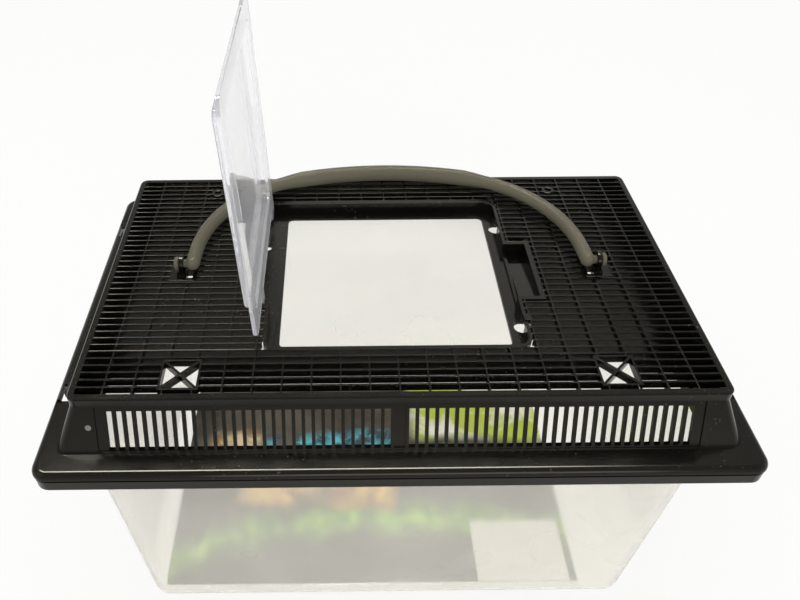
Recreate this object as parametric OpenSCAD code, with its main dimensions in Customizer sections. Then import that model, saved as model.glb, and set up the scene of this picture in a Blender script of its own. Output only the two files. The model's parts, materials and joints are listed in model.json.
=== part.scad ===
// Plastic pet keeper: a clear tapered tank, a black ventilated press-on lid with a
// clear lift-up hatch, and a folding carry handle. Millimetres, +Z up, front at -Y.
// The origin is the middle of the footprint, on the surface the tank stands on.

/* [Tank] */
// Width of the tank across its outer bottom edges
tank_w = 254; // [225:1:300]
// Depth of the tank across its outer bottom edges
tank_d = 160; // [146:1:190]
// Height of the tank up to the top of its rim
tank_h = 136; // [90:1:200]
// How far each wall leans out from bottom to rim
tank_draft = 8; // [3:0.5:10]
// Thickness of the tank's walls and floor
tank_wall = 1.8; // [1.2:0.1:3]
// Corner radius at the bottom of the tank
tank_corner_r = 12; // [9:1:20]
// Radius where the walls meet the floor
tank_heel_r = 6; // [4:0.5:8]
// How far the rim stands out from the walls
rim_reach = 5; // [3:0.5:6]
// Depth of the rim's turned-down edge
rim_drop = 4; // [3:0.5:6]

/* [Lid] */
// How far the flange reaches past the tank's rim at the sides
side_reach = 10; // [9:0.5:16]
// How far the flange reaches past the tank's rim at the front and rear
front_reach = 4; // [3:0.5:8]
// Corner radius of the flange
lid_corner_r = 7; // [6:0.5:12]
// Thickness of the lid's walls and flange
lid_wall = 1.9; // [1.4:0.1:2.4]
// Depth of the skirt that hangs round the rim
skirt_h = 9.4; // [7:0.1:14]
// Height of the raised deck above the flange
deck_rise = 25; // [20:0.5:40]
// Width of the ledge between the skirt and the foot of the side walls
side_ledge = 8.7; // [7.5:0.1:12]
// Width of the same ledge at the front and rear
front_ledge = 10.7; // [9:0.1:14]
// Corner radius of the raised deck
deck_corner_r = 4; // [3.5:0.5:7]
// Corner radius at the foot of the sloping walls
foot_corner_r = 4; // [3:0.5:7]
// How far the sloping walls spread from the deck's edge down to the flange
wall_spread = 7.8; // [5:0.1:9]
// Play between the lid and the tank
lid_play = 0.35; // [0.3:0.05:0.6]

/* [Deck grille] */
// Pitch of the deep cross slats, front to back
slat_pitch = 3.98; // [3.6:0.01:4.6]
// Thickness of one cross slat
slat_t = 0.8; // [0.7:0.1:1.6]
// Pitch of the stiffening ribs, side to side
rib_pitch = 11.95; // [10.5:0.05:14]
// Thickness of one stiffening rib
rib_t = 0.6; // [0.5:0.1:1.6]
// Depth of the slats and ribs
grille_h = 3.6; // [2.4:0.1:4]
// Width of the plain border round the deck
border_w = 3; // [2.4:0.1:4.5]
// Width of a corner square with its crossed ribs
cross_w = 16.4; // [12:0.1:18]
// Thickness of the crossed ribs
cross_t = 1.1; // [0.8:0.1:2.4]
// Distance from the deck's front edge to the middle of a corner square
cross_inset = 13.3; // [12:0.1:15]

/* [Wall vents] */
// Pitch of the upright slots
vent_pitch = 4.02; // [3.6:0.01:4.3]
// Width of one upright slot
vent_slot_w = 2.6; // [1.5:0.1:2.8]
// Width of the middle post
mid_post_w = 6; // [5:0.5:10]
// Width of the plain post at each corner
corner_post_w = 10; // [9.5:0.5:30]

/* [Hatch] */
// Width of the opening under the hatch
opening_w = 102; // [80:1:118]
// How far the middle of the opening lies right of the deck's middle
opening_shift = 0.4; // [-1:0.1:1]
// Depth of the grille between the deck's front edge and the well
front_field = 26.6; // [25:0.1:32]
// Depth of the grille between the well and the deck's rear edge
rear_field = 21.9; // [20:0.1:28]
// Width of the ledge that carries the hatch on its hinge side
hinge_ledge = 5.3; // [4:0.1:7]
// Width of the ledge that carries the hatch on its free side
free_ledge = 5.7; // [5:0.1:7]
// Width of the ledge that carries the hatch at the front and rear
end_ledge = 5; // [4:0.1:7]
// Depth of the well below the deck
well_h = 5.7; // [5.5:0.1:8]
// Thickness of the hatch plate
hatch_t = 1.6; // [1.2:0.1:2]
// Clearance between the hatch and its well
hatch_gap = 0.8; // [0.5:0.1:1.5]
// How far the raised panel sits in from the plate's edge
panel_inset = 8; // [6:0.5:12]
// Angle between the closed and the standing hatch
hatch_angle = 92; // [90.5:0.5:94]
// Radius of the hatch's hinge pins
hinge_pin_r = 1.5; // [1.2:0.05:1.8]
// Length of the hinge recess beside the well
hinge_bay_l = 77; // [60:1:90]
// Width of the hinge recess beside the well
hinge_bay_w = 8; // [7:0.1:9]
// Length of the finger pocket
finger_l = 38; // [30:1:42]
// Width of the finger pocket
finger_w = 8.9; // [8:0.1:11]

/* [Handle] */
// Distance from the deck's side edge to the middle of each ear
ear_inset = 35.3; // [30:0.1:38]
// Reach of the handle from its pivots to the middle of its grip
handle_reach = 76; // [66:0.5:90]
// Radius of the handle's round section
handle_r = 3.3; // [2.8:0.1:3.8]
// Radius of the thicker grip
grip_r = 4.2; // [3.7:0.1:5]
// Half the length of the grip
grip_half = 46; // [30:1:48]
// Radius of the bends between the legs and the crown
bend_r = 42; // [36:1:46]
// Radius of the handle's pivot pins
pivot_r = 2; // [1.5:0.1:2.4]
// Radius of the round heads outside the ears
button_r = 3.2; // [2.8:0.1:3.8]
// Gap between the folded handle's grip and the deck
handle_clear = 0.4; // [0.3:0.1:1]

/* [Side latches] */
// Length of each latch flap along the side
latch_l = 108; // [80:1:108]
// How far the middle of a flap lies behind the lid's middle
latch_shift = 6; // [0:0.5:8]
// Length of the slot at each end of a flap
latch_slot_l = 9; // [6:0.5:10]
// Length of the sunk ramp that leads to each slot
latch_ramp_l = 11; // [8:0.5:12]

/* [Paper] */
// Gap between the picture card and the tank's left and front walls
card_gap = 1; // [0.5:0.1:3]
// Gap between the picture card and the tank's right wall
card_right_gap = 17; // [1:0.5:40]
// Gap between the picture card and the tank's rear wall
card_rear_gap = 7; // [1:0.5:30]
// Thickness of the card
card_t = 0.5; // [0.3:0.1:0.8]
// Width of the plain sticker
sticker_w = 50; // [30:1:60]
// Depth of the plain sticker
sticker_d = 36; // [20:1:44]

/* [Hidden] */
$fn = 48;
// A small lap where two shapes fuse, and how far a cut runs past a face
lap = 0.01;
over = 1;
black = [0.06, 0.06, 0.065];
clear = [0.86, 0.89, 0.92, 0.45];

// Heights
flange_top = tank_h + lid_play + lid_wall;
deck_top = flange_top + deck_rise;
grille_z = deck_top - grille_h;
well_floor = deck_top - well_h;
skirt_bottom = flange_top - skirt_h;

// Tank
tank_mouth_w = tank_w + 2*tank_draft;
tank_mouth_d = tank_d + 2*tank_draft;
tank_post_x = tank_w/2 - tank_corner_r;
tank_post_y = tank_d/2 - tank_corner_r;
rim_bevel = 0.6;
heel_steps = 6;
heel_in_r = tank_heel_r - tank_wall;
function wall_out(z) = tank_corner_r + tank_draft*z/tank_h;

// Lid outline, sized round the tank's rim
lid_w = tank_mouth_w + 2*rim_reach + 2*side_reach;
lid_d = tank_mouth_d + 2*rim_reach + 2*front_reach;
deck_w = lid_w - 2*(side_ledge + wall_spread);
deck_d = lid_d - 2*(front_ledge + wall_spread);
lid_post_x = lid_w/2 - lid_corner_r;
lid_post_y = lid_d/2 - lid_corner_r;
deck_post_x = deck_w/2 - deck_corner_r;
deck_post_y = deck_d/2 - deck_corner_r;

// Flange edge: round shoulder, then a groove, then the skirt set back a step
shoulder_r = 3;
shoulder_steps = 6;
skirt_step = 0.3;
groove_depth = 0.6;
groove_drop = 0.6;
groove_h = 0.5;
groove_flare = 0.3;
skirt_fillet = 1;

// Rib that drops inside the tank's mouth
plug_gap = lid_play + 0.5;
plug_h = 4;
plug_w = tank_mouth_w - 2*tank_wall - 2*plug_gap;
plug_d = tank_mouth_d - 2*tank_wall - 2*plug_gap;
plug_r = tank_corner_r + tank_draft - tank_wall - plug_gap;

// Band round the deck, with the sloping wall below it
band_h = 4.6;
band_step = 0.7;
band_lip = 0.4;
band_bevel = 0.6;
band_lap = 0.5;
// How far the wall stands out from the deck's edge at a depth y below the deck
function slope_x(y) = -band_step + (wall_spread + band_step)*(y - band_h)/(deck_rise - band_h);

// Vents: the slotted panel stands between the corner posts
vent_gap = 0.5;
vent_top = band_h + vent_gap;
vent_bottom = deck_rise - vent_gap;
vent_head = 2.2;
vent_foot = 0.5;
vent_margin = 3.6;
vent_inset = 0.6;
mid_recess = 1.1;
mid_edge = 2.4;
vent_count = floor((deck_w/2 - corner_post_w - mid_post_w/2 - vent_margin)/vent_pitch);
vent_l = vent_count*vent_pitch + mid_post_w/2 + vent_margin;

// Deck grille
grille_x = deck_w/2 - border_w;
grille_y = deck_d/2 - border_w;
cross_side_in = 39;
cross_rib = floor((deck_w/2 - cross_side_in)/rib_pitch);
cross_x = (cross_rib + 0.5)*rib_pitch;
cross_y = deck_d/2 - cross_inset;
cross_frame_t = 0.9;
cross_lap = 0.5;
eye_r = 3.2;
eye_hole_r = 1.7;

// Hatch well: footprint of the moulding, which the grille panels leave free
well_wall = 1.5;
bore_wall = 3;
well_corner_r = 5;
opening_corner_r = 2.5;
open_x0 = opening_shift - opening_w/2;
open_x1 = open_x0 + opening_w;
well_x0 = open_x0 - hinge_ledge;
well_x1 = open_x1 + free_ledge;
bay_x0 = well_x0 - hinge_bay_w;
foot_x0 = bay_x0 - well_wall;
foot_x1 = well_x1 + well_wall;
foot_y0 = -deck_d/2 + front_field;
foot_y1 = deck_d/2 - rear_field;
well_y0 = foot_y0 + well_wall;
well_y1 = foot_y1 - bore_wall;
open_y0 = well_y0 + end_ledge;
open_y1 = well_y1 - end_ledge;
bay_y0 = well_y1 - hinge_bay_l;
bay_foot_y0 = bay_y0 - bore_wall;

// Finger pocket beside the well: a ramp that ends in a deep slot, open to the well
// above a low ridge
finger_wall = 2.2;
finger_x0 = foot_x1;
finger_foot_x1 = finger_x0 + finger_w + finger_wall;
finger_rear_in = 35.6;
finger_y1 = well_y1 - finger_rear_in;
finger_y0 = finger_y1 - finger_l;
finger_foot_y0 = finger_y0 - finger_wall;
finger_foot_y1 = finger_y1 + finger_wall;
finger_ridge_h = 1.2;
finger_slot_l = 9;
finger_slot_h = 6.4;
finger_ramp_h = 5.2;
finger_lip_h = 3;

// Round holes at the foot of the well's right wall, one in the hinge recess, and the
// catch boss above the front one
ledge_hole_r = 3.5;
ledge_hole_h = 3.7;
hole_end_in = 11;
rear_hole = [well_x1, open_y1 - hole_end_in];
front_hole = [well_x1, open_y0 + hole_end_in];
bay_hole_r = 2.1;
bay_hole_in = 3.8;
bay_hole_rear_in = 24.6;
bay_hole = [bay_x0 + bay_hole_in, open_y1 - bay_hole_rear_in];
boss_r = 1.9;
boss_gap = 0.15;
boss_rise = 0.8;
boss = [foot_x1, front_hole[1]];

// Hatch hinge
hinge_out = 4.8;
hinge_play = 0.05;
hinge_pin_in = 2.4;
hinge_end_gap = 0.4;
barrel_wall = 0.6;
barrel_r = hinge_pin_r + barrel_wall;
barrel_gap = 0.4;
hinge_x = well_x0 - hinge_out;
hinge_z = well_floor + barrel_r + barrel_gap;
arm_l = 7;

// Hatch plate and raised panel, as they lie when closed
rest_gap = 0.3;
hinge_side_gap = 1.4;
hatch_corner_r = 5;
plate_x0 = well_x0 + hinge_side_gap;
plate_x1 = well_x1 - hatch_gap;
plate_y0 = well_y0 + hatch_gap;
plate_y1 = well_y1 - hatch_gap;
plate_z = well_floor + rest_gap;
panel_top = deck_top - rest_gap;
panel_r = 5;
panel_lean = 0.8;
panel_bevel = 0.5;
panel_lap = 0.5;
panel_w = plate_x1 - plate_x0 - 2*panel_inset;
panel_d = plate_y1 - plate_y0 - 2*panel_inset;

// Handle ears
ear_t = 2;
ear_gap = 0.4;
ear_wall = 2.2;
ear_base_w = 12;
ear_base_d = 16;
ear_base_shift = 1;
ear_slot_w = 3;
ear_slot_l = 5;
ear_slot_in = 3.4;
ear_x = deck_w/2 - ear_inset;
pivot_z = deck_top + grip_r + handle_clear;
pivot_play = 0.06;

// Handle: two legs, two bends and a wide crown
handle_span = 2*(ear_x - ear_t/2 - ear_gap - handle_r);
leg_l = 16;
eye_wall = 2;
eye_trim = 0.4;
button_t = 2.2;
button_gap = 0.3;
bend_x = handle_span/2 - bend_r;
crown_a = leg_l - handle_reach;
crown_r = (bend_x*bend_x + crown_a*crown_a - bend_r*bend_r)/(-2*(bend_r + crown_a));
crown_y = handle_reach - crown_r;
bend_angle = atan2(leg_l - crown_y, bend_x);
side_count = 24;
bend_steps = 8;
crown_steps = 36;
grip_blend_angle = 6;
grip_end_angle = asin(grip_half/crown_r) + 4;

// Latch flaps: each turns about the round root along its inner edge
latch_gap = 0.3;
latch_foot_gap = 0.4;
latch_root_r = lid_wall/2;
latch_root_x = lid_w/2 - side_ledge + latch_foot_gap + latch_root_r;
latch_root_z = flange_top - latch_root_r;
latch_inner_x = latch_root_x - latch_root_r - latch_gap;
latch_bar_w = 2.6;
latch_bar_h = 3.2;
latch_ramp_h = 1.3;
latch_ramp_edge = 1.2;

// Paper on the tank's floor
card_x0 = -tank_w/2 + tank_heel_r + card_gap;
card_y0 = -tank_d/2 + tank_heel_r + card_gap;
card_x1 = tank_w/2 - tank_heel_r - card_right_gap;
card_y1 = tank_d/2 - tank_heel_r - card_rear_gap;
sticker_inset = 4;
sticker_t = 0.3;

// ---------- helpers ----------

// A rectangle with round corners, centred
module round_rect(w, d, r) {
    square([w - 2*r, d], center = true);
    square([w, d - 2*r], center = true);
    for (sx = [-1, 1], sy = [-1, 1])
        translate([sx*(w/2 - r), sy*(d/2 - r)]) circle(r);
}

// A rectangle with round corners, from one corner point to the other
module round_box(x0, y0, x1, y1, r) {
    translate([(x0 + x1)/2, (y0 + y1)/2]) round_rect(x1 - x0, y1 - y0, r);
}

// A rectangle from one corner point to the other
module box2(x0, y0, x1, y1) {
    translate([x0, y0]) square([x1 - x0, y1 - y0]);
}

// Sweeps a profile round a rectangle of corner posts. In the profile, x is the
// distance outwards from the posts and y is the height.
module sweep_round(post_x, post_y) {
    corners = [[1, 1], [-1, 1], [-1, -1], [1, -1]];
    for (i = [0:3]) {
        turn = 90*i;
        run = i % 2 == 0 ? 2*post_y : 2*post_x;
        translate([corners[i][0]*post_x, corners[i][1]*post_y])
            rotate(turn) {
                rotate_extrude(angle = 90) children();
                rotate([90, 0, 0]) linear_extrude(run) children();
            }
    }
}

// Parallel bars across a field, at multiples of a pitch
module bars(pitch, thick, half_l, half_w) {
    n = floor(half_w/pitch);
    for (i = [-n:n])
        translate([-half_l, i*pitch - thick/2]) square([2*half_l, thick]);
}

// A strip that runs along X with a section given in Y and Z
module along_x(half_l) {
    rotate([90, 0, 90]) translate([0, 0, -half_l]) linear_extrude(2*half_l) children();
}

// ---------- tank ----------

// Floor, heel, leaning wall and turned-down rim
module tank_profile() {
    heel_angles = [for (i = [0:heel_steps]) -90 + 90*i/heel_steps];
    heel_x = wall_out(tank_heel_r) - tank_heel_r;
    heel_out = [for (a = heel_angles) [heel_x + tank_heel_r*cos(a), tank_heel_r*(1 + sin(a))]];
    heel_in = [for (i = [heel_steps:-1:0]) let (a = heel_angles[i])
        [heel_x + heel_in_r*cos(a), tank_heel_r + heel_in_r*sin(a)]];
    top = wall_out(tank_h);
    rim = top + rim_reach;
    polygon(concat(
        [[0, 0]], heel_out,
        [[wall_out(tank_h - tank_wall), tank_h - tank_wall],
         [rim - tank_wall, tank_h - tank_wall], [rim - tank_wall, tank_h - rim_drop],
         [rim, tank_h - rim_drop], [rim, tank_h - rim_bevel], [rim - rim_bevel, tank_h],
         [top - tank_wall, tank_h]],
        heel_in, [[0, tank_wall]]));
}

module tank() {
    color(clear) {
        sweep_round(tank_post_x, tank_post_y) tank_profile();
        linear_extrude(tank_wall) square([2*tank_post_x, 2*tank_post_y], center = true);
    }
}

// ---------- paper ----------

module picture_card() {
    color([0.45, 0.5, 0.35]) translate([0, 0, tank_wall])
        linear_extrude(card_t) box2(card_x0, card_y0, card_x1, card_y1);
}

module plain_sticker() {
    x1 = card_x1 - sticker_inset;
    color("white") translate([0, 0, tank_wall + card_t])
        linear_extrude(sticker_t) box2(x1 - sticker_w, card_y0, x1, card_y0 + sticker_d);
}

// ---------- lid skirt and latch flaps ----------

// Flange with a round shoulder, a groove, and the skirt below it
module skirt_profile() {
    skirt_in = lid_corner_r - lid_wall;
    skirt_out = lid_corner_r - skirt_step;
    groove_in = skirt_out - groove_depth;
    shoulder_z = flange_top - shoulder_r;
    groove_top = shoulder_z - groove_drop;
    groove_bottom = groove_top - groove_h;
    flange_under = flange_top - lid_wall;
    shoulder = [for (i = [0:shoulder_steps]) let (a = 90*i/shoulder_steps)
        [lid_corner_r - shoulder_r*(1 - cos(a)), shoulder_z + shoulder_r*sin(a)]];
    polygon(concat(
        [[skirt_in, skirt_bottom], [skirt_out, skirt_bottom],
         [skirt_out, groove_bottom - groove_flare], [groove_in, groove_bottom],
         [groove_in, groove_top]],
        shoulder,
        [[0, flange_top], [0, flange_under],
         [skirt_in - skirt_fillet, flange_under], [skirt_in, flange_under - skirt_fillet]]));
}

// Ring under the flange that drops inside the tank's mouth
module plug_rib() {
    translate([0, 0, flange_top - lid_wall - lid_play - plug_h])
        linear_extrude(plug_h + lid_play + lap)
            difference() {
                round_rect(plug_w, plug_d, plug_r);
                round_rect(plug_w - 2*lid_wall, plug_d - 2*lid_wall, plug_r - lid_wall);
            }
}

// A box that the right flap takes from the flange, from its root out to outer_x
module latch_cut(outer_x, length, top) {
    translate([latch_inner_x, latch_shift - length/2, skirt_bottom - over])
        cube([outer_x - latch_inner_x, length, top - skirt_bottom + over]);
}

// What one latch flap takes from the flange: its own place, a slot at each end with a
// bar left outside it, and a ramp that sinks towards each slot
module latch_space(side) {
    slots_l = latch_l + 2*latch_slot_l;
    mirror([side > 0 ? 0 : 1, 0, 0]) {
        latch_cut(lid_w/2 + over, latch_l + 2*latch_gap, flange_top + over);
        latch_cut(lid_w/2 + over, slots_l, flange_top - latch_bar_h);
        latch_cut(lid_w/2 - latch_bar_w, slots_l, flange_top + over);
        for (end = [-1, 1])
            translate([latch_inner_x, latch_shift + end*(slots_l/2 - lap), flange_top])
                rotate([90, 0, 90])
                    linear_extrude(lid_w/2 - latch_ramp_edge - latch_inner_x)
                        polygon([[0, over], [0, -latch_ramp_h], [end*latch_ramp_l, 0],
                                 [end*latch_ramp_l, over]]);
    }
}

module lid_skirt() {
    color(black) difference() {
        union() {
            sweep_round(lid_post_x, lid_post_y) skirt_profile();
            translate([0, 0, flange_top - lid_wall]) linear_extrude(lid_wall)
                difference() {
                    square([2*lid_post_x + lap, 2*lid_post_y + lap], center = true);
                    round_rect(plug_w - 2*lid_wall, plug_d - 2*lid_wall, plug_r - lid_wall);
                }
            plug_rib();
        }
        for (side = [-1, 1]) latch_space(side);
    }
}

// One side flap of the flange, free on three sides so that it can flex
module latch_flap(side) {
    root = latch_root_x - lid_post_x;
    color(black) translate([0, latch_shift, 0]) rotate(side > 0 ? 0 : 180)
        translate([lid_post_x, latch_l/2, 0]) rotate([90, 0, 0]) linear_extrude(latch_l) {
            intersection() {
                skirt_profile();
                box2(root, skirt_bottom - over, lid_corner_r + over, flange_top + over);
            }
            box2(root, flange_top - lid_wall, max(root, 0) + lap, flange_top);
            translate([root, latch_root_z]) circle(latch_root_r);
        }
}

module left_latch_flap() { latch_flap(-1); }
module right_latch_flap() { latch_flap(1); }

// ---------- lid frame and vents ----------

// Band round the deck, with a small lip at its lower edge
module band_profile() {
    r = deck_corner_r;
    band_z = deck_top - band_h;
    polygon([
        [r - border_w, deck_top], [r - band_bevel, deck_top], [r, deck_top - band_bevel],
        [r, band_z + band_lip], [r - band_step, band_z], [r - border_w, band_z]]);
}

// A block with the slope of the walls, between two heights above the flange
module sloping_block(h0, h1, inset) {
    spread0 = slope_x(deck_rise - h0) - inset;
    spread1 = slope_x(deck_rise - h1) - inset;
    w0 = deck_w + 2*spread0;
    d0 = deck_d + 2*spread0;
    translate([0, 0, flange_top + h0])
        linear_extrude(h1 - h0, slices = 1,
                       scale = [(deck_w + 2*spread1)/w0, (deck_d + 2*spread1)/d0])
            round_rect(w0, d0, foot_corner_r - inset);
}

// Sloping walls from the flange up into the band
module sloping_walls() {
    wall_h = deck_rise - band_h + band_lap;
    difference() {
        sloping_block(0, wall_h, 0);
        sloping_block(-over, wall_h + over, lid_wall);
    }
}

// Section of the sloping wall between the vent's top and bottom, on the rear side
module vent_section() {
    edge = deck_d/2;
    polygon([
        [edge + slope_x(vent_top), deck_top - vent_top],
        [edge + slope_x(vent_bottom), deck_top - vent_bottom],
        [edge + slope_x(vent_bottom) - lid_wall, deck_top - vent_bottom],
        [edge + slope_x(vent_top) - lid_wall, deck_top - vent_top]]);
}

module lid_frame() {
    window_y0 = deck_d/2 - border_w - over;
    window_d = wall_spread + border_w + 2*over;
    color(black) difference() {
        union() {
            sweep_round(deck_post_x, deck_post_y) band_profile();
            sloping_walls();
        }
        for (turn = [0, 180]) rotate(turn)
            translate([-vent_l, window_y0, deck_top - vent_bottom])
                cube([2*vent_l, window_d, vent_bottom - vent_top]);
    }
}

// Slotted wall panel between the corner posts, on the rear side
module vent_panel() {
    slot_top = deck_top - vent_top - vent_head;
    slot_bottom = deck_top - vent_bottom + vent_foot;
    cut_y0 = deck_d/2 - border_w - over;
    cut_d = wall_spread + border_w + 2*over;
    recess_w = mid_post_w - 2*mid_edge;
    translate([0, -vent_inset, 0]) difference() {
        along_x(vent_l) vent_section();
        for (side = [-1, 1], i = [0:vent_count - 1])
            translate([side*(mid_post_w/2 + (i + 0.5)*vent_pitch) - vent_slot_w/2,
                       cut_y0, slot_bottom])
                cube([vent_slot_w, cut_d, slot_top - slot_bottom]);
        intersection() {
            translate([-recess_w/2, cut_y0, slot_bottom])
                cube([recess_w, cut_d, slot_top - slot_bottom]);
            translate([0, lid_wall - mid_recess, 0]) along_x(mid_post_w) vent_section();
        }
    }
}

module front_vent() { color(black) rotate(180) vent_panel(); }
module rear_vent() { color(black) vent_panel(); }

// ---------- deck grille ----------

// Slats and ribs inside a rectangle, drawn flat
module grille_panel(x0, y0, x1, y1) {
    intersection() {
        union() {
            bars(slat_pitch, slat_t, grille_x, grille_y);
            rotate(90) bars(rib_pitch, rib_t, grille_y, grille_x);
        }
        box2(x0, y0, x1, y1);
    }
}

// Repeats what it is given at both corner squares
module at_crosses() {
    for (side = [-1, 1]) translate([side*cross_x, -cross_y]) children();
}

// A square frame with crossed ribs
module cross_square() {
    inner = cross_w - 2*cross_frame_t;
    difference() {
        square(cross_w, center = true);
        difference() {
            square(inner, center = true);
            for (a = [45, -45]) rotate(a) square([2*cross_w, cross_t], center = true);
        }
    }
}

// Gives a flat drawing the depth and the place of the grille
module grille_solid() {
    color(black) translate([0, 0, grille_z]) linear_extrude(grille_h) children();
}

module deck_grille_front() {
    grille_solid() {
        difference() {
            grille_panel(-grille_x, -grille_y, grille_x, foot_y0);
            at_crosses() square(cross_w - 2*cross_lap, center = true);
        }
        at_crosses() cross_square();
    }
}

module deck_grille_rear() {
    grille_solid() difference() {
        union() {
            grille_panel(-grille_x, foot_y1, grille_x, grille_y);
            for (side = [-1, 1]) translate([side*cross_x, cross_y]) circle(eye_r);
        }
        for (side = [-1, 1]) translate([side*cross_x, cross_y]) circle(eye_hole_r);
    }
}

// Flat outline of the base plate under one handle ear
module ear_base_outline(side) {
    translate([side*ear_x, ear_base_shift])
        square([ear_base_w, ear_base_d], center = true);
}

module deck_grille_left() {
    grille_solid() difference() {
        union() {
            grille_panel(-grille_x, foot_y0, foot_x0, foot_y1);
            grille_panel(foot_x0 - lap, foot_y0, well_x0 - well_wall, bay_foot_y0);
        }
        ear_base_outline(-1);
    }
}

module deck_grille_right() {
    grille_solid() difference() {
        union() {
            grille_panel(finger_foot_x1, foot_y0, grille_x, foot_y1);
            grille_panel(foot_x1, foot_y0, finger_foot_x1 + lap, finger_foot_y0);
            grille_panel(foot_x1, finger_foot_y1, finger_foot_x1 + lap, foot_y1);
        }
        ear_base_outline(1);
        translate(boss) circle(boss_r + boss_gap);
    }
}

// ---------- hatch well ----------

// Inside of the well with the hinge recess on its left
module well_outline() {
    round_box(well_x0, well_y0, well_x1, well_y1, well_corner_r);
    box2(bay_x0, bay_y0, well_x0 + well_corner_r, well_y1);
}

// Outside of the well moulding, with the finger pocket on its right
module well_foot() {
    outer_r = well_corner_r + well_wall;
    round_box(well_x0 - well_wall, foot_y0, foot_x1, foot_y1, outer_r);
    box2(foot_x0, bay_foot_y0, well_x0 - well_wall + outer_r, foot_y1);
    box2(well_x1 - well_corner_r, finger_foot_y0, finger_foot_x1, finger_foot_y1);
}

// Ramp for a fingertip, deepest at its rear end
module finger_pocket() {
    slot_y = finger_y1 - finger_slot_l;
    top = deck_top + over;
    translate([finger_x0, 0, 0]) rotate([90, 0, 90]) linear_extrude(finger_w)
        polygon([[finger_y0, top], [finger_y0, deck_top - finger_lip_h],
                 [slot_y, deck_top - finger_ramp_h], [slot_y, deck_top - finger_slot_h],
                 [finger_y1, deck_top - finger_slot_h], [finger_y1, top]]);
}

module hatch_well() {
    bottom = well_floor - well_wall;
    color(black) difference() {
        union() {
            translate([0, 0, bottom]) linear_extrude(deck_top - bottom) well_foot();
            translate([boss[0], boss[1], grille_z])
                cylinder(r = boss_r, h = grille_h + boss_rise);
        }
        translate([0, 0, well_floor]) linear_extrude(well_h + over) well_outline();
        translate([0, 0, bottom - over]) linear_extrude(well_h + well_wall + 2*over)
            round_box(open_x0, open_y0, open_x1, open_y1, opening_corner_r);
        for (p = [rear_hole, front_hole])
            translate([p[0], p[1], bottom - over])
                cylinder(r = ledge_hole_r, h = over + well_wall + ledge_hole_h);
        translate([bay_hole[0], bay_hole[1], bottom - over])
            cylinder(r = bay_hole_r, h = well_wall + 2*over);
        finger_pocket();
        // the well's wall is low between the well and the finger pocket
        translate([well_x1 - over, finger_y0, well_floor + finger_ridge_h])
            cube([over + well_wall + lap, finger_l, well_h]);
        // hinge bores through both end walls of the recess
        for (y = [bay_y0, foot_y1])
            translate([hinge_x, y + over, hinge_z]) rotate([90, 0, 0])
                cylinder(r = hinge_pin_r + hinge_play, h = bore_wall + 2*over);
    }
}

// ---------- hatch ----------

// Wall and top of the raised panel: x outwards from the corner posts, y height
module panel_profile() {
    top_r = panel_r - panel_lean;
    polygon([
        [0, panel_top], [top_r - panel_bevel, panel_top], [top_r, panel_top - panel_bevel],
        [panel_r, plate_z], [panel_r - hatch_t, plate_z],
        [top_r - hatch_t, panel_top - hatch_t], [0, panel_top - hatch_t]]);
}

// The hatch as it lies when closed
module hatch_closed() {
    mid = [(plate_x0 + plate_x1)/2, (plate_y0 + plate_y1)/2, 0];
    core_w = panel_w - 2*panel_r;
    core_d = panel_d - 2*panel_r;
    difference() {
        translate([0, 0, plate_z]) linear_extrude(hatch_t)
            round_box(plate_x0, plate_y0, plate_x1, plate_y1, hatch_corner_r);
        translate([0, 0, plate_z - over]) translate(mid) linear_extrude(hatch_t + 2*over)
            round_rect(panel_w - 2*panel_lap, panel_d - 2*panel_lap, panel_r - panel_lap);
    }
    translate(mid) {
        sweep_round(core_w/2, core_d/2) panel_profile();
        translate([0, 0, panel_top - hatch_t]) linear_extrude(hatch_t)
            square([core_w, core_d], center = true);
    }
    // two hinge arms with a barrel on each, and a pin at each outer end
    for (y = [bay_y0 + hinge_end_gap, well_y1 - hinge_end_gap - arm_l]) {
        translate([hinge_x, y, plate_z])
            cube([plate_x0 - hinge_x + hatch_corner_r, arm_l, hatch_t]);
        translate([hinge_x, y + arm_l, hinge_z]) rotate([90, 0, 0])
            cylinder(r = barrel_r, h = arm_l);
    }
    pin_l = hinge_pin_in + hinge_end_gap + lap;
    for (y = [bay_y0 - hinge_pin_in + pin_l, well_y1 + hinge_pin_in])
        translate([hinge_x, y, hinge_z]) rotate([90, 0, 0])
            cylinder(r = hinge_pin_r, h = pin_l);
}

module hatch_door() {
    color(clear)
        translate([hinge_x, 0, hinge_z]) rotate([0, -hatch_angle, 0])
            translate([-hinge_x, 0, -hinge_z]) hatch_closed();
}

// ---------- handle ----------

// Upright ear with its pivot bore, on a plate set into the deck
module handle_ear(side) {
    boss = pivot_r + ear_wall;
    color(black) difference() {
        union() {
            translate([0, 0, grille_z]) linear_extrude(grille_h) ear_base_outline(side);
            translate([side*ear_x - ear_t/2, 0, pivot_z]) rotate([0, 90, 0])
                cylinder(r = boss, h = ear_t);
            translate([side*ear_x - ear_t/2, -boss, deck_top - lap])
                cube([ear_t, 2*boss, pivot_z - deck_top]);
        }
        translate([side*ear_x - ear_t, 0, pivot_z]) rotate([0, 90, 0])
            cylinder(r = pivot_r + pivot_play, h = 2*ear_t);
        translate([side*(ear_x - ear_slot_in) - ear_slot_w/2, -ear_slot_l, grille_z - over])
            cube([ear_slot_w, ear_slot_l, grille_h + 2*over]);
    }
}

module left_handle_ear() { handle_ear(-1); }
module right_handle_ear() { handle_ear(1); }

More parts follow.
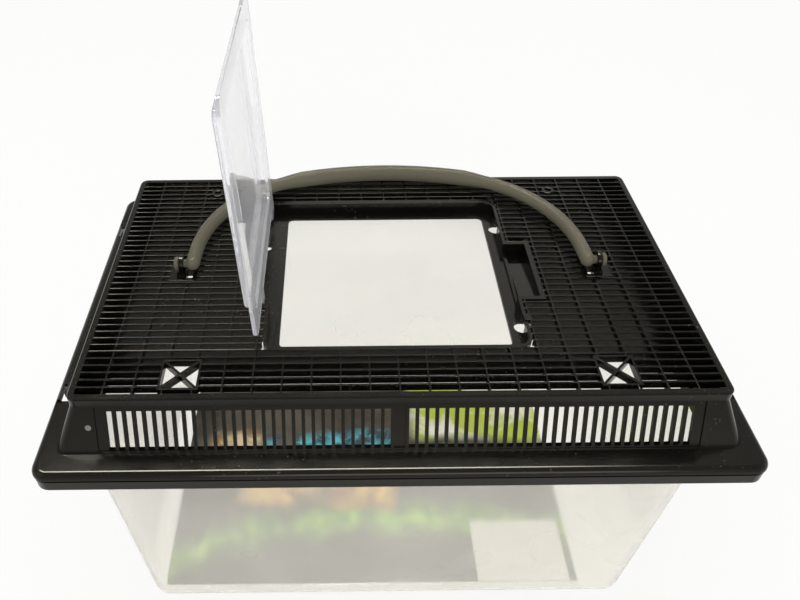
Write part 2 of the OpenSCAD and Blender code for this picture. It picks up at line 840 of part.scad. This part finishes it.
// The bail's centre line, by the direction q in which its outside faces:
// 0 on the right leg, 90 at the middle of the crown, 180 on the left leg
function bail_point(q) =
    q < bend_angle ? [bend_x + bend_r*cos(q), leg_l + bend_r*sin(q)] :
    q <= 180 - bend_angle ? [crown_r*cos(q), crown_y + crown_r*sin(q)] :
    [-bend_x + bend_r*cos(q), leg_l + bend_r*sin(q)];
function ease(t) = t <= 0 ? 0 : t >= 1 ? 1 : t*t*(3 - 2*t);
function bail_r(q) =
    handle_r + (grip_r - handle_r)*ease((grip_end_angle - abs(q - 90))/grip_blend_angle);

// A round tube through stations [point, q], with the radius following q
module bail_tube() {
    crown_turn = 180 - 2*bend_angle;
    qs = concat([for (i = [0:bend_steps - 1]) bend_angle*i/bend_steps],
                [for (i = [0:crown_steps]) bend_angle + crown_turn*i/crown_steps],
                [for (i = [bend_steps - 1:-1:0]) 180 - bend_angle*i/bend_steps]);
    stations = concat([[[handle_span/2, 0], 0]], [for (q = qs) [bail_point(q), q]],
                      [[[-handle_span/2, 0], 180]]);
    n = len(stations);
    points = [for (s = stations, i = [0:side_count - 1])
        let (a = 360*i/side_count, r = bail_r(s[1]))
        [s[0][0] + r*cos(a)*cos(s[1]), s[0][1] + r*cos(a)*sin(s[1]), r*sin(a)]];
    walls = [for (k = [0:n - 2], i = [0:side_count - 1])
        let (j = (i + 1) % side_count, a = k*side_count, b = (k + 1)*side_count)
        [a + i, a + j, b + j, b + i]];
    right_end = [for (i = [side_count - 1:-1:0]) i];
    left_end = [for (i = [0:side_count - 1]) (n - 1)*side_count + i];
    polyhedron(points, concat(walls, [right_end], [left_end]), convexity = 6);
}

module carry_handle() {
    eye_t = 2*handle_r - eye_trim;
    pin_l = ear_x + ear_t/2 + button_gap - handle_span/2;
    color([0.2, 0.19, 0.17]) translate([0, 0, pivot_z]) {
        bail_tube();
        // round eye on each leg, the pin through the ear and the button outside
        for (side = [-1, 1]) translate([side*handle_span/2, 0, 0]) {
            rotate([0, 90, 0]) cylinder(r = pivot_r + eye_wall, h = eye_t, center = true);
            translate([side*pin_l/2, 0, 0]) rotate([0, 90, 0])
                cylinder(r = pivot_r, h = pin_l, center = true);
            translate([side*(pin_l + button_t/2), 0, 0]) rotate([0, 90, 0])
                cylinder(r = button_r, h = button_t, center = true);
        }
    }
}

tank();
picture_card();
plain_sticker();
lid_skirt();
lid_frame();
front_vent();
rear_vent();
deck_grille_front();
deck_grille_rear();
deck_grille_left();
deck_grille_right();
hatch_well();
left_handle_ear();
right_handle_ear();
left_latch_flap();
right_latch_flap();
hatch_door();
carry_handle();
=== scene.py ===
"""Looks of a plastic pet keeper: a clear milky tank with a printed card on its floor, a black
ventilated lid, a clear hatch standing open and a grey carry handle folded back.
Everything is in metres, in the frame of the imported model: +Z up, front at -Y."""

import json
import math

import bmesh
import bpy
from mathutils import Matrix, Vector


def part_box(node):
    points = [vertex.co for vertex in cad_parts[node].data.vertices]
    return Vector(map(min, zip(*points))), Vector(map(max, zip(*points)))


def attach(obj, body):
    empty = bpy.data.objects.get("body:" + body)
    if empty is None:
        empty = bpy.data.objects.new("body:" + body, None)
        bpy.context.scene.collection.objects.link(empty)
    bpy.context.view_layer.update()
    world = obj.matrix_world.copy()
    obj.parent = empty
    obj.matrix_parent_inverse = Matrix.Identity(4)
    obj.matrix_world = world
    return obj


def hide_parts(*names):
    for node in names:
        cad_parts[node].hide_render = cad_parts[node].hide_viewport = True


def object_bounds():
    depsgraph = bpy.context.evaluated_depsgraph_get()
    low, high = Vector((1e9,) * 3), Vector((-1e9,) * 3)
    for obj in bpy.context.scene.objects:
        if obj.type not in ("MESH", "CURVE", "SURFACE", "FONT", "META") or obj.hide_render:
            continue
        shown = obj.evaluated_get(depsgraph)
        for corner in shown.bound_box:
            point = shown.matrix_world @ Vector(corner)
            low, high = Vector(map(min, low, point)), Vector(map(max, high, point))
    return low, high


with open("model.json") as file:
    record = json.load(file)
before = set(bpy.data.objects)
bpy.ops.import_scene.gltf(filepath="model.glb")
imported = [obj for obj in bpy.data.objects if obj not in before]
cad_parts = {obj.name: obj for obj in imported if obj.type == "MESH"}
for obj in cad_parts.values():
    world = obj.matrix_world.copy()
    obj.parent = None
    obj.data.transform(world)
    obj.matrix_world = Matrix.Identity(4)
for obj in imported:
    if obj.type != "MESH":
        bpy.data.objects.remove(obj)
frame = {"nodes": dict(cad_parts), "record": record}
cad_low, cad_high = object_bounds()

MM = 0.001
BODY_OF = {node: body
           for body, nodes in frame["record"]["behaviour"]["bodies"].items()
           for node in nodes}
SLOT_OF = {part["node"]: part["material_slot"] for part in frame["record"]["subparts"]}


# ---------- node helpers ----------

class Nodes:
    """A node tree, with short calls to add and join its nodes."""

    def __init__(self, owner):
        owner.use_nodes = True
        self.nodes = owner.node_tree.nodes
        self.links = owner.node_tree.links
        self.nodes.clear()

    def put(self, socket, value):
        """Sets a socket to a value, or links it to another socket."""
        if isinstance(value, bpy.types.NodeSocket):
            self.links.new(value, socket)
        elif value is not None:
            socket.default_value = value

    def add(self, kind, inputs=None, **settings):
        node = self.nodes.new("ShaderNode" + kind)
        for key, value in settings.items():
            setattr(node, key, value)
        for key, value in (inputs or {}).items():
            self.put(node.inputs[key], value)
        return node

    def remap(self, value, low, high, to_low=0.0, to_high=1.0):
        return self.add("MapRange", {"Value": value, "From Min": low, "From Max": high,
                                     "To Min": to_low, "To Max": to_high}).outputs["Result"]

    def math(self, operation, a, b):
        return self.add("Math", {0: a, 1: b}, operation=operation).outputs[0]

    def blend(self, factor, first, second):
        """A shader that is the first where the factor is 0 and the second where it is 1."""
        return self.add("MixShader", {0: factor, 1: first.outputs[0], 2: second.outputs[0]})


class Shader(Nodes):
    """The node tree of a new material."""

    def __init__(self, name):
        self.material = bpy.data.materials.new(name)
        super().__init__(self.material)
        self.output = self.add("OutputMaterial")
        self.place = self.add("TexCoord").outputs["Object"]

    def noise(self, scale, detail=4.0, roughness=0.5, place=None, distortion=0.0):
        return self.add("TexNoise", {"Vector": place or self.place, "Scale": scale,
                                     "Detail": detail, "Roughness": roughness,
                                     "Distortion": distortion}).outputs["Fac"]

    def mix(self, factor, a, b):
        """A colour between a and b. On a Mix node of colours, sockets 6 and 7 are A and B."""
        return self.add("Mix", {0: factor, 6: a, 7: b}, data_type="RGBA").outputs[2]

    def stretched(self, x, y, z):
        """The object's own coordinates, stretched along each axis."""
        return self.add("Mapping", {"Vector": self.place, "Scale": (x, y, z)}).outputs[0]

    def bump(self, height, strength, distance, normal=None):
        return self.add("Bump", {"Height": height, "Strength": strength,
                                 "Distance": distance, "Normal": normal}).outputs[0]

    def principled(self, **inputs):
        named = {key.replace("_", " "): value for key, value in inputs.items()}
        return self.add("BsdfPrincipled", named)

    def finish(self, shader):
        self.links.new(shader.outputs[0], self.output.inputs["Surface"])
        return self.material


# ---------- materials ----------

DUST = (0.2, 0.19, 0.16, 1)


def plastic(name, colour, light_colour, rough, worn=0.0, tint=(1, 1, 1, 1), shine=0.5):
    """Moulded plastic: satin, with faint flow marks, fine grain and a little dust."""
    s = Shader(name)
    flow = s.noise(9, 3, 0.55, s.stretched(1, 1.7, 2.5))
    grain = s.noise(1400, 2, 0.5)
    smear = s.noise(38, 5, 0.6, distortion=0.6)
    speck = s.remap(s.noise(620, 2, 0.4), 0.69, 0.74)
    dust = s.math("MULTIPLY", speck, s.remap(s.noise(20, 2), 0.45, 0.7, 0.0, 0.35))
    base = s.mix(s.remap(flow, 0.3, 0.7), colour, light_colour)
    dusty = s.mix(dust, base, DUST)
    low, high = rough
    roughness = s.math("ADD", s.remap(smear, 0.25, 0.75, low, high),
                       s.remap(grain, 0, 1, -0.02, 0.02))
    normal = s.bump(flow, 0.12, 1.2 * MM)
    normal = s.bump(grain, 0.10 + worn, 0.05 * MM, normal)
    shader = s.principled(Base_Color=dusty, Roughness=roughness, Normal=normal,
                          Specular_Tint=tint)
    shader.inputs["IOR"].default_value = 1.5
    shader.inputs["Specular IOR Level"].default_value = shine
    return s.finish(shader)


def clear_plastic(name, tint, rough, haze_colour, haze, scratches):
    """Clear moulded plastic. A share of haze makes it milky; light for what lies behind
    it passes straight through, so that the inside is lit."""
    s = Shader(name)
    fine = s.noise(260, 3, 0.6, s.stretched(1, 1, 0.12))
    low, high = rough
    roughness = s.remap(s.noise(45, 4, 0.6), 0.3, 0.7, low, high)
    normal = s.bump(fine, scratches, 0.03 * MM)
    glass = s.principled(Base_Color=tint, Roughness=roughness, Normal=normal)
    glass.inputs["Transmission Weight"].default_value = 1.0
    glass.inputs["IOR"].default_value = 1.46
    milk = s.add("BsdfTranslucent", {"Color": haze_colour})
    skin = s.add("BsdfDiffuse", {"Color": haze_colour})
    cloudy = s.blend(0.5, milk, skin)
    amount = s.remap(s.noise(11, 3, 0.5), 0.3, 0.7, haze * 0.8, haze * 1.2)
    body = s.blend(amount, glass, cloudy)
    open_way = s.add("BsdfTransparent", {"Color": tint})
    ray = s.add("LightPath")
    passing = s.math("MAXIMUM", ray.outputs["Is Shadow Ray"], ray.outputs["Is Diffuse Ray"])
    return s.finish(s.blend(passing, body, open_way))


def printed_card(name):
    """A generic print of soft leafy blotches on a dark ground: a green arc with sandy
    patches behind it, blue flecks and a pale yellow-green corner. It shows no picture.
    Places on it are X and Y in the part's frame."""
    s = Shader(name)
    axes = s.add("SeparateXYZ", {"Vector": s.place})
    warp_x = s.remap(s.noise(22, 4, 0.6), 0, 1, -0.014, 0.014)
    warp_y = s.remap(s.noise(17, 4, 0.6, s.stretched(1, 1, 3)), 0, 1, -0.012, 0.012)
    across = s.math("ADD", axes.outputs["X"], warp_x)
    along = s.math("ADD", axes.outputs["Y"], warp_y)

    def window(value, start, end, soft=0.004):
        return s.math("MULTIPLY", s.remap(value, start - soft, start + soft),
                      s.remap(value, end + soft, end - soft))

    def patch(x0, x1, y0, y1):
        return s.math("MULTIPLY", window(across, x0, x1), window(along, y0, y1))

    def mottle(scale, low, high):
        return s.remap(s.noise(scale, 4, 0.6, distortion=0.5), low, high)

    arc_middle, arc_bow = 0.015, 1.5
    offset = s.math("SUBTRACT", axes.outputs["X"], arc_middle)
    bow = s.math("MULTIPLY", s.math("MULTIPLY", offset, offset), arc_bow)
    arc = window(s.math("ADD", along, bow), -0.040, -0.024, soft=0.006)
    leaf_zone = s.math("MULTIPLY", arc, mottle(30, 0.30, 0.50))
    bark_zone = s.math("MULTIPLY", patch(-0.085, 0.010, -0.026, 0.002), mottle(34, 0.28, 0.44))
    stone_zone = patch(-0.104, -0.074, 0.000, 0.027)
    fleck_zone = s.math("MULTIPLY", patch(-0.070, 0.009, 0.000, 0.026), mottle(48, 0.42, 0.50))
    pale_zone = patch(0.022, 0.12, 0.020, 0.075)

    leaf = s.mix(mottle(70, 0.4, 0.6), (0.10, 0.22, 0.03, 1), (0.36, 0.62, 0.09, 1))
    bark = s.mix(mottle(55, 0.4, 0.6), (0.34, 0.17, 0.05, 1), (0.95, 0.60, 0.15, 1))
    stone = s.mix(mottle(80, 0.42, 0.58), (0.30, 0.20, 0.10, 1), (0.72, 0.58, 0.36, 1))
    fleck = s.mix(mottle(90, 0.42, 0.58), (0.03, 0.07, 0.09, 1), (0.14, 0.52, 0.62, 1))
    pale = s.mix(mottle(26, 0.44, 0.56), (0.50, 0.60, 0.10, 1), (0.88, 0.86, 0.78, 1))
    colour = s.mix(mottle(24, 0.35, 0.65), (0.035, 0.032, 0.026, 1), (0.12, 0.105, 0.085, 1))
    for zone, ink in ((leaf_zone, leaf), (bark_zone, bark), (stone_zone, stone),
                      (fleck_zone, fleck), (pale_zone, pale)):
        colour = s.mix(zone, colour, ink)

    fibre = s.noise(900, 2, 0.5)
    shader = s.principled(Base_Color=colour, Roughness=s.remap(fibre, 0.3, 0.7, 0.32, 0.42),
                          Normal=s.bump(fibre, 0.1, 0.04 * MM))
    shader.inputs["Specular IOR Level"].default_value = 0.1
    return s.finish(shader)


def sticker_paper(name):
    """Plain off-white paper with a faint grain."""
    s = Shader(name)
    fibre = s.noise(700, 4, 0.6)
    cloud = s.noise(60, 3, 0.5)
    colour = s.mix(s.remap(cloud, 0.3, 0.7), (0.86, 0.84, 0.77, 1), (0.90, 0.885, 0.82, 1))
    shader = s.principled(Base_Color=colour, Roughness=s.remap(fibre, 0.2, 0.8, 0.55, 0.7),
                          Normal=s.bump(fibre, 0.2, 0.05 * MM))
    return s.finish(shader)


def pale_floor(name):
    """Pale studio floor. For the camera and for clear pieces it reads as white paper,
    and it keeps the object's shadow."""
    s = Shader(name)
    grain = s.noise(30, 4, 0.5)
    colour = s.mix(grain, (0.915, 0.915, 0.91, 1), (0.935, 0.935, 0.93, 1))
    diffuse = s.add("BsdfDiffuse", {"Color": colour})
    white = s.add("Emission", {"Color": (1, 1, 1, 1), "Strength": 1.0})
    ray = s.add("LightPath")
    seen = s.math("MAXIMUM", ray.outputs["Is Camera Ray"], ray.outputs["Is Transmission Ray"])
    share = s.math("MULTIPLY", seen, 0.75)
    return s.finish(s.blend(share, diffuse, white))


MATERIALS = {
    "black_plastic": plastic(
        "black_moulded", colour=(0.0020, 0.0019, 0.0015, 1),
        light_colour=(0.0045, 0.0043, 0.0034, 1), rough=(0.11, 0.20), worn=0.02,
        tint=(1, 0.96, 0.80, 1), shine=0.20),
    "handle_plastic": plastic(
        "grey_moulded", colour=(0.105, 0.100, 0.072, 1), light_colour=(0.135, 0.128, 0.092, 1),
        rough=(0.36, 0.50), worn=0.06, tint=(1, 0.98, 0.9, 1), shine=0.05),
    "clear_tank": clear_plastic(
        "milky_clear", tint=(0.987, 0.978, 0.945, 1), rough=(0.06, 0.10),
        haze_colour=(0.97, 0.955, 0.91, 1), haze=0.22, scratches=0.012),
    "clear_hatch": clear_plastic(
        "bright_clear", tint=(0.975, 0.975, 0.98, 1), rough=(0.02, 0.06),
        haze_colour=(0.94, 0.95, 1.0, 1), haze=0.18, scratches=0.15),
    "gate_scar": plastic(
        "scuffed_black", colour=(0.05, 0.05, 0.045, 1), light_colour=(0.22, 0.22, 0.20, 1),
        rough=(0.4, 0.6), worn=0.1),
    "printed_card": printed_card("leafy_print"),
    "white_sticker": sticker_paper("plain_paper"),
}


# ---------- pieces ----------

def linked(name, data):
    """A new object in the scene."""
    obj = bpy.data.objects.new(name, data)
    bpy.context.scene.collection.objects.link(obj)
    return obj


def closed_mesh(name, bm):
    """A mesh from a bmesh, with its normals outward. The bmesh is used up."""
    bmesh.ops.recalc_face_normals(bm, faces=bm.faces)
    mesh = bpy.data.meshes.new(name)
    bm.to_mesh(mesh)
    bm.free()
    return mesh


def clean_mesh(node, most_corners=24):
    """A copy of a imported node's mesh with its flat faces whole again. A face that then
    has more corners than most_corners is cut into triangles."""
    bm = bmesh.new()
    bm.from_mesh(frame["nodes"][node].data)
    bmesh.ops.remove_doubles(bm, verts=bm.verts, dist=0.002 * MM)
    bmesh.ops.dissolve_limit(bm, angle_limit=math.radians(0.4), verts=bm.verts, edges=bm.edges,
                             use_dissolve_boundaries=False)
    busy = [f for f in bm.faces if len(f.verts) > most_corners]
    bmesh.ops.triangulate(bm, faces=busy)
    corners = [v.co.copy() for v in bm.verts]
    bm.verts.index_update()
    faces = [[v.index for v in f.verts] for f in bm.faces]
    bm.free()
    mesh = bpy.data.meshes.new(node + "_moulded")
    mesh.from_pydata(corners, [], faces)
    return mesh


def baked(obj):
    """Applies the modifiers of an object to its mesh."""
    graph = bpy.context.evaluated_depsgraph_get()
    mesh = bpy.data.meshes.new_from_object(obj.evaluated_get(graph))
    obj.modifiers.clear()
    obj.data = mesh


def moulded(node, edge, crease=30, sharp=38, segments=2, cutter=None):
    """The node as a moulded piece, in its place. Edges that turn by more than crease
    degrees are rounded, and those that still turn by more than sharp degrees shade as
    corners."""
    obj = linked(node + "_moulded", clean_mesh(node))
    if cutter:
        groove = obj.modifiers.new("groove", "BOOLEAN")
        groove.object = cutter
        groove.solver = "EXACT"
        baked(obj)
        bpy.data.objects.remove(cutter)
    bevel = obj.modifiers.new("round edges", "BEVEL")
    bevel.width = edge
    bevel.segments = segments
    bevel.limit_method = "ANGLE"
    bevel.angle_limit = math.radians(crease)
    bevel.use_clamp_overlap = True
    baked(obj)
    obj.data.shade_smooth()
    obj.data.set_sharp_from_angle(angle=math.radians(sharp))
    weigh = obj.modifiers.new("flat faces first", "WEIGHTED_NORMAL")
    weigh.keep_sharp = True
    weigh.weight = 80
    baked(obj)
    obj.data.materials.clear()
    obj.data.materials.append(MATERIALS[SLOT_OF[node]])
    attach(obj, BODY_OF[node])
    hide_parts(node)


# How far each piece's edges are rounded, in millimetres.
EDGE_MM = {
    "tank": 0.35, "lid_skirt": 0.3, "lid_frame": 0.35, "front_vent": 0.18, "rear_vent": 0.18,
    "deck_grille_front": 0.2, "deck_grille_rear": 0.2, "deck_grille_left": 0.2,
    "deck_grille_right": 0.2, "hatch_well": 0.3, "left_handle_ear": 0.3,
    "right_handle_ear": 0.3, "left_latch_flap": 0.3, "right_latch_flap": 0.3,
    "hatch_door": 0.3, "picture_card": 0.1, "plain_sticker": 0.05,
}


def vent_face(node, wall=1.9 * MM):
    """The outside of a vent, which slopes from its lowest outer edge to its highest one:
    the side it faces, its Y at the foot, and the run of Y for each metre of height."""
    low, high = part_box(node)
    side = -1 if low.y < 0 else 1
    foot_y, inside_y = (low.y, high.y) if side < 0 else (high.y, low.y)
    slope = (inside_y + side * wall - foot_y) / (high.z - low.z)
    return side, foot_y, slope


def post_groove(node, width=4.8 * MM, depth=1.1 * MM, reach=1.9 * MM, foot=0.5 * MM):
    """A cutter for the shallow groove down the middle post of a vent, parallel to its
    slope. It starts at foot above the vent's lower edge and runs out past its upper one."""
    low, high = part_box(node)
    side, foot_y, slope = vent_face(node)
    corners = []
    for z in (low.z + foot, high.z + foot):
        face = foot_y + slope * (z - low.z)
        for y in (face + side * reach, face - side * depth):
            corners += [(-width / 2, y, z), (width / 2, y, z)]
    bm = bmesh.new()
    verts = [bm.verts.new(corner) for corner in corners]
    for quad in ((0, 1, 3, 2), (4, 6, 7, 5), (0, 4, 5, 1),
                 (2, 3, 7, 6), (0, 2, 6, 4), (1, 5, 7, 3)):
        bm.faces.new([verts[i] for i in quad])
    name = node + "_groove"
    return bpy.data.objects.new(name, closed_mesh(name, bm))


for node_name, edge_mm in EDGE_MM.items():
    cutter = post_groove(node_name) if node_name.endswith("_vent") else None
    moulded(node_name, edge_mm * MM, cutter=cutter)


# ---------- carry handle and gate mark ----------

def ease(t):
    t = min(max(t, 0.0), 1.0)
    return t * t * (3 - 2 * t)


def ring(bm, centre, radius, out, up, sides):
    """A ring of points about a centre, in the plane of two directions."""
    turn = [math.tau * i / sides for i in range(sides)]
    return [bm.verts.new(centre + radius * (math.cos(a) * out + math.sin(a) * up)) for a in turn]


def skin(bm, rings):
    """Walls between rings of as many points each, with both ends closed."""
    count = len(rings[0])
    for near, far in zip(rings, rings[1:]):
        for i in range(count):
            j = (i + 1) % count
            bm.faces.new((near[i], near[j], far[j], far[i]))
    bm.faces.new(rings[0][::-1])
    bm.faces.new(rings[-1])


def bail_half(leg_x, reach, lean, leg, bend, rod):
    """Half of the bail's middle line as (point, turn, radius), from the round end of the
    right leg to the middle of the crown. Points are measured from the pivots' line. The
    radius is None past the leg, where the grip sets it."""
    leg_rings, bend_rings, crown_rings = 6, 16, 24
    q0 = math.radians(lean)
    bend_x = leg_x - leg * math.sin(q0) - bend * math.cos(q0)
    bend_y = leg * math.cos(q0) - bend * math.sin(q0)
    rise = bend_y - reach
    crown = (bend_x ** 2 + rise ** 2 - bend ** 2) / (-2 * (bend + rise))
    crown_y = reach - crown
    q1 = math.atan2(bend_y - crown_y, bend_x)

    half = []
    along = Vector((-math.sin(q0), math.cos(q0), 0))
    pivot = Vector((leg_x, 0, 0))
    for b in (86, 70, 52, 34, 16):
        b = math.radians(b)
        half.append((pivot - along * rod * math.sin(b), q0, rod * math.cos(b)))
    half += [(pivot + along * leg * i / leg_rings, q0, rod) for i in range(leg_rings)]
    for i in range(bend_rings + 1):
        q = q0 + (q1 - q0) * i / bend_rings
        point = Vector((bend_x + bend * math.cos(q), bend_y + bend * math.sin(q), 0))
        half.append((point, q, None))
    for i in range(1, crown_rings + 1):
        q = q1 + (math.pi / 2 - q1) * i / crown_rings
        half.append((Vector((crown * math.cos(q), crown_y + crown * math.sin(q), 0)), q, None))
    return half


def pivot_profile(leg_x, end, pin=2 * MM, head=3.2 * MM, head_l=2.2 * MM, chamfer=0.3 * MM):
    """A pivot pin and its dished button as (x, radius), from the leg to the outer end."""
    inner = end - head_l
    return ((leg_x, pin), (inner, pin), (inner, head - chamfer), (inner + chamfer, head),
            (end - 0.6 * MM, head), (end - 0.2 * MM, head - 0.25 * MM),
            (end, head - 0.8 * MM), (end - 0.15 * MM, head - 1.4 * MM))


def carry_handle(lean=3.0, leg=10 * MM, bend=66 * MM, rod=3.3 * MM, grip=4.2 * MM,
                 grip_half=46 * MM, blend=5 * MM, inside_ear=5 * MM, sides=32, pin_sides=40):
    """The bail: short legs that lean in a little, wide bends and a flatter crown with a
    thicker grip. Its span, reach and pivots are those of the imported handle."""
    low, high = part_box("carry_handle")
    ear_low, ear_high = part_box("right_handle_ear")
    leg_x = (ear_low.x + ear_high.x) / 2 - inside_ear
    centre = Vector((0, 0, (low.z + high.z) / 2))
    half = bail_half(leg_x, high.y - grip, lean, leg, bend, rod)
    other = [(Vector((-p.x, p.y, 0)), math.pi - q, r) for p, q, r in half[-2::-1]]

    x_axis, y_axis, z_axis = Matrix.Identity(3)
    bm = bmesh.new()
    rings = []
    for point, q, radius in half + other:
        if radius is None:
            radius = rod + (grip - rod) * ease((grip_half + blend - abs(point.x)) / blend)
        out = Vector((math.cos(q), math.sin(q), 0))
        rings.append(ring(bm, centre + point, radius, out, z_axis, sides))
    skin(bm, rings)
    for side in (-1, 1):
        skin(bm, [ring(bm, centre + side * x * x_axis, radius, y_axis, z_axis, pin_sides)
                  for x, radius in pivot_profile(leg_x, high.x)])
    mesh = closed_mesh("carry_handle_bail", bm)
    mesh.shade_smooth()
    mesh.set_sharp_from_angle(angle=math.radians(42))
    mesh.materials.append(MATERIALS["handle_plastic"])
    obj = linked("carry_handle_bail", mesh)
    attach(obj, BODY_OF["carry_handle"])
    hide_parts("carry_handle")


def gate_mark(beside=3.01 * MM, rise=10.9 * MM, proud=0.57 * MM, sides=28):
    """The small round scar of the moulding gate on the front left corner post. It lies
    beside the front vent, in the same slope, on a post that stands proud of the vent."""
    low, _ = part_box("front_vent")
    _, foot_y, slope = vent_face("front_vent")
    x_axis, y_axis, z_axis = Matrix.Identity(3)
    bm = bmesh.new()
    # Height and radius in millimetres: a raised rim, a flat dish and a nib in the middle.
    skin(bm, [ring(bm, height * MM * z_axis, radius * MM, x_axis, y_axis, sides)
              for height, radius in ((0.0, 1.3), (0.12, 1.25), (0.16, 1.05), (0.08, 0.9),
                                     (0.08, 0.35), (0.2, 0.2))])
    mesh = closed_mesh("gate_mark", bm)
    mesh.shade_smooth()
    mesh.set_sharp_from_angle(angle=math.radians(50))
    mesh.materials.append(MATERIALS["gate_scar"])
    obj = linked("gate_mark", mesh)
    obj.location = (low.x - beside, foot_y + slope * rise - proud, low.z + rise)
    obj.rotation_euler = (math.pi / 2 - math.atan(slope), 0, 0)
    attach(obj, BODY_OF["lid_frame"])


carry_handle()
gate_mark()


# ---------- stage, light and camera ----------

def flat_floor(size, gap=0.2 * MM):
    """A square floor, a hair's breadth under the part."""
    h = size / 2
    mesh = bpy.data.meshes.new("floor")
    mesh.from_pydata([(-h, -h, 0), (h, -h, 0), (h, h, 0), (-h, h, 0)], [], [(0, 1, 2, 3)])
    mesh.materials.append(pale_floor("pale_floor"))
    floor = linked("floor", mesh)
    floor.location.z = cad_low.z - gap


def white_world():
    """White all round for the camera and for what is seen through clear plastic. Gloss
    sees a room that is white low down and a little darker overhead, with a small bright
    panel high at the back, and everything else is lit by a plain level."""
    world = bpy.data.worlds.new("studio")
    bpy.context.scene.world = world
    w = Nodes(world)
    ray = w.add("LightPath").outputs
    seen = w.math("MAXIMUM", ray["Is Camera Ray"], ray["Is Transmission Ray"])
    around = w.add("SeparateXYZ", {"Vector": w.add("TexCoord").outputs["Generated"]}).outputs

    walls = w.remap(around["Z"], 0.10, 0.62, 1.0, 0.75)
    panel = w.remap(around["Z"], 0.79, 0.86, 0.0, 52.0)
    for axis, dark, bright in (("Y", 0.47, 0.41), ("Y", 0.20, 0.26), ("X", 0.36, 0.22)):
        panel = w.math("MULTIPLY", panel, w.remap(around[axis], dark, bright))
    room = w.add("Background", {"Color": (1.0, 0.99, 0.96, 1),
                                "Strength": w.math("ADD", walls, panel)})
    white = w.add("Background", {"Color": (1, 1, 1, 1), "Strength": 1.0})
    light = w.add("Background", {"Color": (1.0, 0.99, 0.97, 1), "Strength": 0.85})
    unseen = w.blend(ray["Is Glossy Ray"], light, room)
    w.add("OutputWorld", {"Surface": w.blend(seen, unseen, white).outputs[0]})


def soft_light(name, place, target, size, watts):
    """An area lamp. Its size is a width along X and a height across it."""
    lamp = bpy.data.lights.new(name, "AREA")
    lamp.shape = "RECTANGLE"
    lamp.size, lamp.size_y = size
    lamp.energy = watts
    obj = linked(name, lamp)
    obj.location = place
    aim = Vector(target) - Vector(place)
    obj.rotation_euler = aim.to_track_quat("-Z", "Y").to_euler()


def photo_camera(place=(-0.02378, -0.26538, 0.38880), heading=-0.2292, tilt=48.8616, roll=-0.4011):
    """The photograph's view. A camera that looks straight down, with its top to the back,
    is rolled, tilted up and turned to the left by these angles in degrees. The principal
    point lies left of and above the middle."""
    sensor = 36.0
    frame_w, frame_h = 800.0, 600.0
    focal_px = 731.232
    middle_px = (342.232, 279.085)
    data = bpy.data.cameras.new("camera")
    data.sensor_width = sensor
    data.lens = focal_px * sensor / frame_w
    data.shift_x = (frame_w / 2 - middle_px[0]) / frame_w
    data.shift_y = (middle_px[1] - frame_h / 2) / frame_w
    data.clip_start = 0.01
    camera = linked("camera", data)
    turn = Matrix.Identity(4)
    for angle, axis in ((heading, "Z"), (tilt, "X"), (roll, "Z")):
        turn = turn @ Matrix.Rotation(math.radians(angle), 4, axis)
    camera.matrix_world = Matrix.Translation(place) @ turn
    bpy.context.scene.camera = camera


flat_floor(12.0)
white_world()
middle = (0, 0, 0.15)
flange = (-0.05, -0.09, 0.14)
soft_light("strip", place=(-0.15, 0.26, 1.15), target=flange, size=(0.75, 0.05), watts=1.2)
soft_light("side", place=(-1.0, -0.5, 0.9), target=middle, size=(0.7, 0.7), watts=1.2)
soft_light("front", place=(0.15, -1.25, 0.55), target=middle, size=(0.9, 0.5), watts=5.6)
soft_light("back", place=(0.2, 1.3, 1.2), target=middle, size=(1.0, 0.6), watts=1.2)
photo_camera()

bpy.context.scene.view_settings.view_transform = "Standard"
